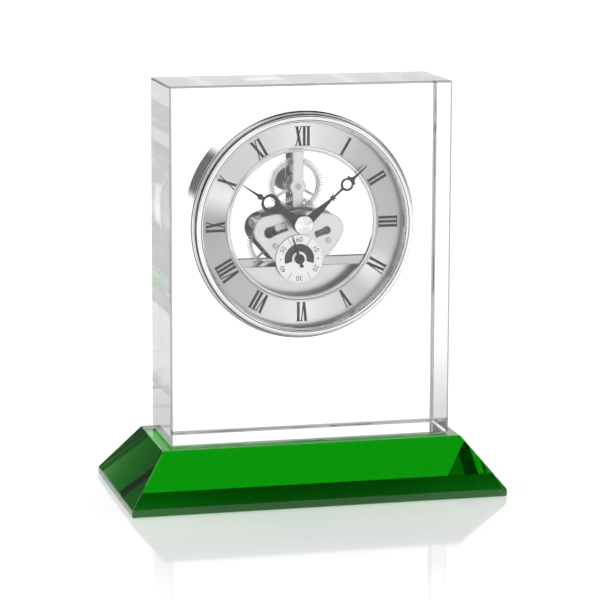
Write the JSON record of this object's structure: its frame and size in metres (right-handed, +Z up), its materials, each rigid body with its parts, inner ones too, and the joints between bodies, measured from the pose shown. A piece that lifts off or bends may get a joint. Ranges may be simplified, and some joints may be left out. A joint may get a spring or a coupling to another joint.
{
  "type": "desk clock",
  "caption": "Clear crystal slab on a sloping green crystal base, with a round chrome skeleton quartz clock insert.",
  "frame": {"origin": "centre of the base's underside, on the surface it stands on", "axes": "+Z up, the dial faces -Y, +X to the right as seen from the front"},
  "size_m": [0.1696, 0.084, 0.184],
  "materials": {
    "clear_crystal": "polished optical crystal",
    "green_crystal": "polished green crystal",
    "lens_glass": "polished flat glass",
    "chrome": "mirror plated",
    "dark_chrome": "polished, dark reflections",
    "satin_silver": "satin with a sunray brushing",
    "dial_silver": "sunray brushed silver",
    "nickel": "plated",
    "steel": "pale turned steel",
    "brass": "turned",
    "copper": "enamelled winding",
    "black_steel": "gloss black",
    "white_paint": "satin white",
    "rubber": "translucent silicone",
    "battery_skin": "plain unmarked sleeve",
    "board_green": "solder mask",
    "knob_grey": "moulded"
  },
  "bodies": {
    "stand": {"crystal_slab": "clear_crystal", "green_base": "green_crystal"},
    "insert": {"bezel_ring": "chrome", "front_lens": "lens_glass", "lens_spacer": "chrome", "dial_ring": "dial_silver", "dial_inner_trim": "chrome", "case_wall": "chrome", "rubber_fit_band": "rubber", "rear_ring": "chrome", "rear_window": "lens_glass", "rear_panel": "satin_silver", "battery_housing": "satin_silver", "lower_plate": "satin_silver", "battery": "battery_skin", "contact_plus": "nickel", "contact_minus": "nickel", "front_plate": "satin_silver", "back_plate": "dark_chrome", "frame_pillar": "chrome", "top_strut": "satin_silver", "top_mount": "chrome", "strut_screw": "nickel", "strut_top_screw": "nickel", "plate_screw_left": "nickel", "plate_screw_right": "nickel", "seconds_dial": "white_paint", "coil": "copper", "stator": "nickel", "circuit_board": "board_green", "quartz_can": "nickel"},
    "minute_arbor": {"cannon_pinion": "steel", "minute_hand": "black_steel", "hand_cap": "chrome"},
    "hour_arbor": {"hour_wheel": "brass", "hour_hand": "black_steel"},
    "seconds_arbor": {"seconds_wheel": "steel", "seconds_hand": "black_steel"},
    "third_arbor": {"third_wheel": "steel"},
    "intermediate_arbor": {"intermediate_wheel": "steel"},
    "rotor_arbor": {"rotor": "nickel"},
    "motion_work_arbor": {"minute_wheel": "brass"},
    "setting_arbor": {"setting_wheel": "steel", "setting_knob": "knob_grey"},
    "battery_flap": {"battery_door": "satin_silver"},
    "centre_gear": {"centre_wheel": "brass"}
  },
  "joints": [
    {"name": "insert_pull", "type": "slide", "parent": "stand", "child": "insert", "axis": [0, -1, 0], "range_m": [0, 0.045]},
    {"name": "minute_turn", "type": "hinge", "parent": "insert", "child": "minute_arbor", "pos_m": [-0.0045, -0.021, 0.1224], "axis": [0, 1, 0], "continuous": true},
    {"name": "centre_turn", "type": "hinge", "parent": "insert", "child": "centre_gear", "pos_m": [-0.0045, -0.021, 0.1224], "axis": [0, 1, 0], "continuous": true},
    {"name": "hour_turn", "type": "hinge", "parent": "insert", "child": "hour_arbor", "pos_m": [-0.0045, -0.021, 0.1224], "axis": [0, 1, 0], "continuous": true},
    {"name": "seconds_turn", "type": "hinge", "parent": "insert", "child": "seconds_arbor", "pos_m": [-0.0045, -0.021, 0.1062], "axis": [0, 1, 0], "continuous": true},
    {"name": "third_turn", "type": "hinge", "parent": "insert", "child": "third_arbor", "pos_m": [0.0051, -0.021, 0.1154], "axis": [0, 1, 0], "continuous": true},
    {"name": "intermediate_turn", "type": "hinge", "parent": "insert", "child": "intermediate_arbor", "pos_m": [-0.0125, -0.021, 0.1115], "axis": [0, 1, 0], "continuous": true},
    {"name": "rotor_turn", "type": "hinge", "parent": "insert", "child": "rotor_arbor", "pos_m": [-0.01445, -0.021, 0.1254], "axis": [0, 1, 0], "continuous": true},
    {"name": "motion_work_turn", "type": "hinge", "parent": "insert", "child": "motion_work_arbor", "pos_m": [-0.0103, -0.021, 0.12085], "axis": [0, 1, 0], "continuous": true},
    {"name": "setting_turn", "type": "hinge", "parent": "insert", "child": "setting_arbor", "pos_m": [-0.0042, -0.021, 0.1378], "axis": [0, 1, 0], "continuous": true},
    {"name": "battery_door_hinge", "type": "hinge", "parent": "insert", "child": "battery_flap", "pos_m": [-0.0045, 0.0113, 0.087], "axis": [-1, 0, 0], "range_deg": [0, 90]}
  ],
  "couplings": [
    {"joint": "hour_turn", "follows": "minute_turn", "ratio": 0.083333},
    {"joint": "motion_work_turn", "follows": "minute_turn", "ratio": -0.33333},
    {"joint": "setting_turn", "follows": "minute_turn", "ratio": -0.25},
    {"joint": "rotor_turn", "follows": "seconds_turn", "ratio": 30},
    {"joint": "intermediate_turn", "follows": "seconds_turn", "ratio": -5},
    {"joint": "third_turn", "follows": "seconds_turn", "ratio": -0.13333},
    {"joint": "centre_turn", "follows": "seconds_turn", "ratio": 0.016667}
  ]
}
